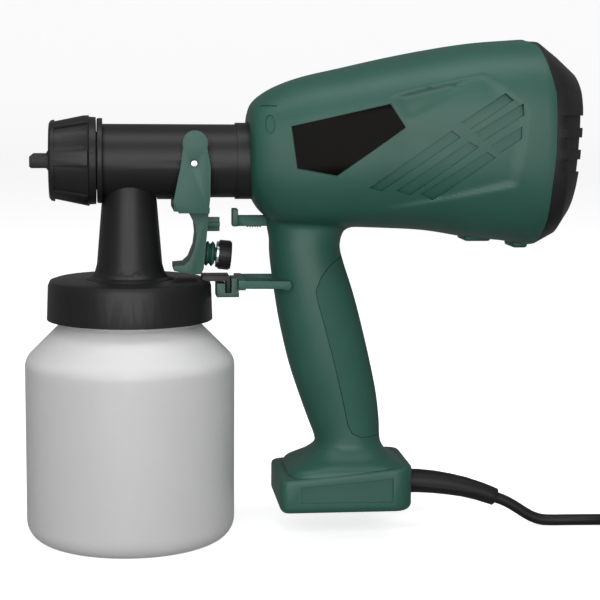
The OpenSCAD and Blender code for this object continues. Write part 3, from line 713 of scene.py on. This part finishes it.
# %% Filter cap
cap_sections = [
    (180, 238, 141.8, 42.1), (192, 237.4, 141, 41.8), (200.2, 231, 145.6, 40.2), (211, 222, 161, 28.5),
]
back_face = [
    (100, 300), (204.6, 300), (206.6, 226), (209.2, 222.6), (210.2, 214), (210, 206), (209.2, 195),
    (207.8, 176.5), (206.4, 162.4), (205.6, 155.6), (199, 100), (100, 100),
]


def cap_form(name, inset, back, count=160):
    """The cap, drawn in by an inset, with its back face moved along the tool, both in millimetres."""
    rings = []
    for x, top, bottom, half in cap_sections:
        middle, tall, wide = (top + bottom) / 2, (top - bottom) / 2 - inset, half - inset
        turn = [2 * math.pi * j / count for j in range(count)]
        across = [wide * softened_power(math.cos(t), body_squareness) for t in turn]
        upward = [middle + tall * softened_power(math.sin(t), body_squareness) for t in turn]
        rings.append([(x, y, z) for y, z in zip(across, upward)])
    form = loft(name, rings)
    return combine(form, side_plate("back", shifted(back_face, back), -60, 60), "INTERSECT")


seam_gap, cap_wall, slot_depth = 0.25, 2.6, 1.3
slot_low, slot_high, slot_pitch = 177, 182.7, 10.1
cap = cap_form("filter_cap", 0, 0)
combine(cap, side_plate("seam", shifted(seam, seam_gap), -60, 60), "INTERSECT")
combine(cap, cap_form("cap_hollow", cap_wall, -cap_wall), "DIFFERENCE")
slots = join("slots", *[
    block("slot", (198, -60, slot_low + slot_pitch * k), (218, 60, slot_high + slot_pitch * k))
    for k in range(3)
])
combine(slots, cap_form("slot_floor", slot_depth, -slot_depth), "DIFFERENCE")
combine(cap, slots, "DIFFERENCE")
settle(round_edges(cap, 0.5, 3, 24), "filter_cap", "black_shell", ["rear_cap"])

# %% [markdown]
# ## Bottle
#
# The bottle is blow moulded in one piece: an even wall, a rounded base with a shallow hollow under it,
# a soft shoulder and a slanted neck. A lathe outline spun round its axis gives all of that at once.


# %% Bottle
def rounded(corners, steps=10):
    """An outline through corners of (radius, height, rounding), in millimetres."""
    out = []
    for i, (r, z, fillet) in enumerate(corners):
        if not fillet:
            out.append((r, z))
            continue
        here = Vector((r, z))
        before = (Vector(corners[i - 1][:2]) - here).normalized()
        after = (Vector(corners[i + 1][:2]) - here).normalized()
        half = before.angle(after) / 2
        centre = here + (before + after).normalized() * fillet / math.sin(half)
        start = here + before * fillet / math.tan(half) - centre
        end = here + after * fillet / math.tan(half) - centre
        for k in range(steps + 1):
            point = centre + start.slerp(end, k / steps) * fillet
            out.append((point.x, point.y))
    return out


bottle_outline = [
    (0, 2, 0), (30, 1.2, 4), (34, 0, 2), (49.6, 0, 10), (49.6, 87, 9), (33.2, 103.4, 2), (33.2, 119.6, 0),
    (31.4, 119.6, 0), (31.4, 102.6, 2), (48.2, 86.2, 8), (48.2, 1.4, 8.6), (33, 1.4, 2), (29, 2.6, 3),
    (0, 3.4, 0),
]
bottle = turned("paint_bottle", rounded(bottle_outline), 160)
settle(bottle, "bottle", "bottle", ["bottle", "bottle_neck"])

# %% [markdown]
# ## Barrel, lid and nozzle
#
# The barrel, its cone and the bottle's lid are one hard black moulding. The frame has their sizes
# already, so a clean copy of each part is taken and its edges get the small radius that a mould leaves.
# Under a soft light a rounded edge catches a thin bright line, which a sharp one can't.

# %% Barrel and lid
barrel = combine(from_frame("spray_body", "barrel"), from_frame("lid_skirt", "skirt"), "UNION")
settle(round_edges(clean(barrel), 0.5, 3), "gun", "black_shell", ["spray_body", "lid_skirt"])
softened_parts = [
    ("stop_ring", "stop_ring_part", "gun", "black_shell", 0.3),
    ("retaining_nut", "nozzle_nut", "nut", "black_shell", 0.35),
    ("air_cap", "air_cap_part", "air_cap", "black_shell", 0.4),
    ("flow_knob", "paint_knob", "flow_knob", "black_shell", 0.25),
    ("switch_plunger", "switch_button", "plunger", "green_shell", 0.5),
    ("latch_bar", "latch", "latch", "green_shell", 0.5),
    ("plug_body", "plug", "gun", "cord", 1.2),
    ("coil_tie", "coil_strap", "gun", "cord", 0.6),
    ("strain_relief", "cord_sleeve", "gun", "cord", 0.4),
]
for node, name, body, slot_name, radius in softened_parts:
    settle(round_edges(from_frame(node, name), radius), body, slot_name, [node])


# %% Trigger
trigger = combine(from_frame("trigger", "trigger_lever"), from_frame("flow_screw", "screw_boss"), "UNION")
settle(round_edges(clean(trigger), 0.6, 3), "trigger", "green_shell", ["trigger", "flow_screw"])

# %% Pivot pins
# Two short steel pins with rounded ends carry the trigger, one on each side of the barrel
pivot_x, pivot_z, pin_inner, pin_radius = 29.6, 179.8, 17, 1.45
pin_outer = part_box("trigger_pins")[1][1] / MM
pins = []
for side in (-1, 1):
    start, end = (pivot_x, side * pin_outer, pivot_z), (pivot_x, side * pin_inner, pivot_z)
    pins.append(round_edges(rod("pin", start, end, pin_radius), 0.2))
pins = join("pivot_pins", *pins)
settle(pins, "gun", "steel", ["trigger_pins"])

# %% [markdown]
# ## Materials
#
# Each finish is named for what the part is made of. Moulded plastic is never one flat colour: the
# mould's spark texture breaks up the light, and the tone drifts a little across the part. Painting
# textures by hand would need a flat map of every part, so every pattern here is worked out in space,
# at a size given in millimetres. The finest grains are drawn coarser than real ones, so that they show.


# %% Material tools
def tone(code):
    """A linear colour from a hex sRGB code."""
    parts = [int(code[i:i + 2], 16) / 255 for i in (1, 3, 5)]
    return [*[p / 12.92 if p <= 0.04045 else ((p + 0.055) / 1.055) ** 2.4 for p in parts], 1]


def step(tree, kind, settings, links=None):
    """Add a node, with its settings and the sockets that feed it."""
    made = tree.nodes.new(kind)
    for key, value in settings.items():
        if isinstance(key, int) or key in made.inputs:
            made.inputs[key].default_value = value
        else:
            setattr(made, key, value)
    for key, source in (links or {}).items():
        tree.links.new(source, made.inputs[key])
    return made


def finish(name, light, dark, roughness, grain_mm, depth_mm, stretch=(1, 1, 1), drift_mm=30, **shader):
    """A surface whose tone drifts between two colours over a fine grain, both sized in millimetres."""
    made = bpy.data.materials.new(name)
    made.use_nodes = True
    tree = made.node_tree
    tree.nodes.clear()
    place = step(tree, "ShaderNodeTexCoord", {})
    drawn = step(tree, "ShaderNodeMapping", {"Scale": stretch}, {"Vector": place.outputs["Object"]})
    drift = step(tree, "ShaderNodeTexNoise", {"Scale": 1 / (drift_mm * MM), "Detail": 3},
        {"Vector": place.outputs["Object"]})
    grain = step(tree, "ShaderNodeTexNoise", {"Scale": 1 / (grain_mm * MM), "Detail": 4, "Roughness": 0.6},
        {"Vector": drawn.outputs["Vector"]})
    blend = step(tree, "ShaderNodeMath", {"operation": "MULTIPLY_ADD", 1: 0.35},
        {0: grain.outputs["Fac"], 2: drift.outputs["Fac"]})
    colour = step(tree, "ShaderNodeValToRGB", {}, {"Fac": blend.outputs["Value"]})
    colour.color_ramp.elements[0].position = 0.4
    colour.color_ramp.elements[0].color = tone(dark)
    colour.color_ramp.elements[1].position = 0.95
    colour.color_ramp.elements[1].color = tone(light)
    rough = step(tree, "ShaderNodeMapRange", {"To Min": roughness - 0.06, "To Max": roughness + 0.06},
        {"Value": grain.outputs["Fac"]})
    bump = step(tree, "ShaderNodeBump", {"Distance": depth_mm * MM, "Strength": 0.6},
        {"Height": grain.outputs["Fac"]})
    skin = step(tree, "ShaderNodeBsdfPrincipled", shader, {
        "Base Color": colour.outputs["Color"], "Roughness": rough.outputs["Result"],
        "Normal": bump.outputs["Normal"],
    })
    step(tree, "ShaderNodeOutputMaterial", {}, {"Surface": skin.outputs["BSDF"]})
    return made


# %% Plastics and rubbers
finishes = {}
# Glass-filled nylon from a spark-eroded mould: a fine even pebble that spreads every highlight
finishes["green_shell"] = finish("moulded_green_nylon", "#244f44", "#1f473c", 0.46, 0.7, 0.03,
    **{"Specular IOR Level": 0.35})
# Soft thermoplastic rubber moulded over the handle: darker and dull, with a velvety sheen
finishes["grip_soft"] = finish("soft_rubber_overmould", "#255045", "#20473d", 0.7, 0.5, 0.05,
    **{"Specular IOR Level": 0.3})
# Carbon-black ABS, satin from the mould
finishes["black_shell"] = finish("moulded_black_abs", "#1c1c1c", "#161616", 0.42, 0.6, 0.02,
    **{"Specular IOR Level": 0.25})
# Gloss polycarbonate label: deep black, with its reflection kept faint so that it stays dark
finishes["badge"] = finish("gloss_black_polycarbonate", "#0b0907", "#070605", 0.16, 1.5, 0.002,
    **{"Specular IOR Level": 0.03})
# Natural high-density polyethylene, blow moulded: milky, because light scatters inside the wall
finishes["bottle"] = finish("blow_moulded_polyethylene", "#fafafa", "#f6f6f6", 0.42, 2.5, 0.02,
    **{"Subsurface Weight": 1.0, "Subsurface Radius": (0.012, 0.012, 0.012), "Subsurface Scale": 1.0})
# Extruded polyethylene tube, milky and see-through
finishes["clear_tube"] = finish("extruded_polyethylene", "#e4e4dc", "#dcdcd4", 0.3, 1.2, 0.01,
    **{"Transmission Weight": 0.4})
# Acetal for the parts that touch paint: off-white and slippery
finishes["inner_plastic"] = finish("moulded_acetal", "#dcdcd4", "#d2d2ca", 0.38, 0.8, 0.02)
# Reticulated polyurethane foam: open black cells
finishes["foam"] = finish("open_cell_foam", "#3b3b3b", "#161616", 0.95, 1.6, 0.6)
# Nitrile rubber seals, matt from talc
finishes["seal"] = finish("nitrile_rubber", "#2c2c2c", "#222222", 0.75, 0.6, 0.03)
# Rubber-sheathed flex: satin black
finishes["cord"] = finish("rubber_flex_sheath", "#121212", "#0d0d0d", 0.5, 0.8, 0.02,
    **{"Specular IOR Level": 0.3})

# %% Metals and the rest
# Ground steel: fine scratches drawn along the part
finishes["steel"] = finish("ground_steel", "#dfe2e2", "#c6c9ca", 0.28, 0.5, 0.01, (0.2, 1, 1),
    Metallic=1.0)
# Stacked silicon-steel sheets: half-millimetre layers across the shaft
finishes["core"] = finish("laminated_motor_steel", "#8f9298", "#5d6066", 0.45, 0.5, 0.05, (2, 0.1, 0.1),
    Metallic=1.0)
# Die-cast aluminium, dull and slightly grainy
finishes["cast"] = finish("die_cast_aluminium", "#c4c6c8", "#a6a8aa", 0.5, 0.9, 0.05, Metallic=1.0)
# Enamelled copper wire: close round turns, amber varnish
finishes["copper"] = finish("enamelled_copper_wire", "#c8733a", "#8a4420", 0.3, 0.5, 0.08, (2, 0.3, 0.3),
    Metallic=1.0)
# Turned brass, with fine rings from the tool
finishes["brass"] = finish("turned_brass", "#d9b56a", "#b8924a", 0.26, 0.4, 0.01, (3, 0.2, 0.2),
    Metallic=1.0)
# Pressed graphite brushes: grey-black and dusty
finishes["carbon"] = finish("pressed_graphite", "#2f3033", "#202124", 0.6, 0.4, 0.02)
# Capacitor dipped in yellow epoxy
finishes["film"] = finish("dipped_epoxy", "#cdb478", "#bda265", 0.3, 2.0, 0.02)

node_slots = {row["node"]: row["material_slot"] for row in frame["record"]["subparts"]}
for node, part in frame["nodes"].items():
    for held in part.material_slots:
        held.material = finishes[node_slots[node]]
for piece in bpy.context.scene.objects:
    if "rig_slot" in piece:
        piece.data.materials.clear()
        piece.data.materials.append(finishes[piece["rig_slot"]])
print(len(finishes), "finishes")

# %% Floor finish
# Matt painted studio board. A studio lights its backdrop with lamps of its own, which would spill on to
# the tool here, so the board glows a little instead, and it neither lights the tool nor shows in its shine.
paper = bpy.data.materials.new("matt_white_board")
paper.use_nodes = True
sheet = paper.node_tree.nodes["Principled BSDF"]
sheet.inputs["Base Color"].default_value = tone("#f2f2f2")
sheet.inputs["Roughness"].default_value = 0.9
sheet.inputs["Specular IOR Level"].default_value = 0.1
sheet.inputs["Emission Color"].default_value = (1, 1, 1, 1)
sheet.inputs["Emission Strength"].default_value = 0.68
floor.data.materials.append(paper)
floor.visible_diffuse = False
floor.visible_glossy = False
floor.visible_shadow = False
print("floor finish", paper.name)
